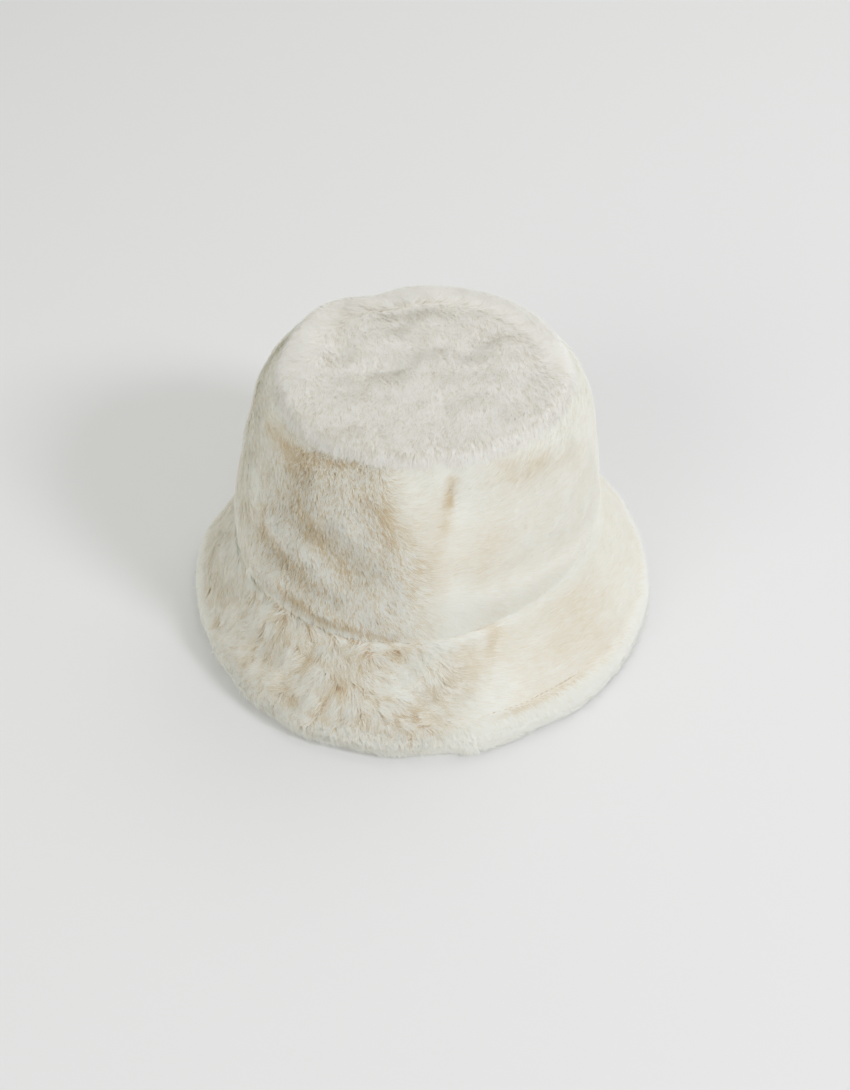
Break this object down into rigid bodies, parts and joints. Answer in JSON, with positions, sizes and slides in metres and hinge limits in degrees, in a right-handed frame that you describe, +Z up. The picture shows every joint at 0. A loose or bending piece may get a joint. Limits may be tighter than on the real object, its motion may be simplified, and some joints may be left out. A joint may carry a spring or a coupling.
{
  "type": "faux fur bucket hat",
  "caption": "Soft padded bucket hat of cream faux fur: an oval crown tip, a sloping crown side and a short flared brim with a rolled, topstitched rim.",
  "frame": {"origin": "centre of the bounding box, on the surface that the rim of the brim rests on", "axes": "+Z up through the crown, -Y the front of the hat, +X its left as worn, which is the right of the picture"},
  "size_m": [0.289, 0.2938, 0.1508],
  "materials": {
    "cream_faux_fur": "soft cream pile, a little darker at its roots"
  },
  "bodies": {
    "root": {"crown_tip": "cream_faux_fur", "crown_side_left": "cream_faux_fur", "crown_side_right": "cream_faux_fur", "brim_left": "cream_faux_fur", "brim_right": "cream_faux_fur"}
  },
  "joints": []
}
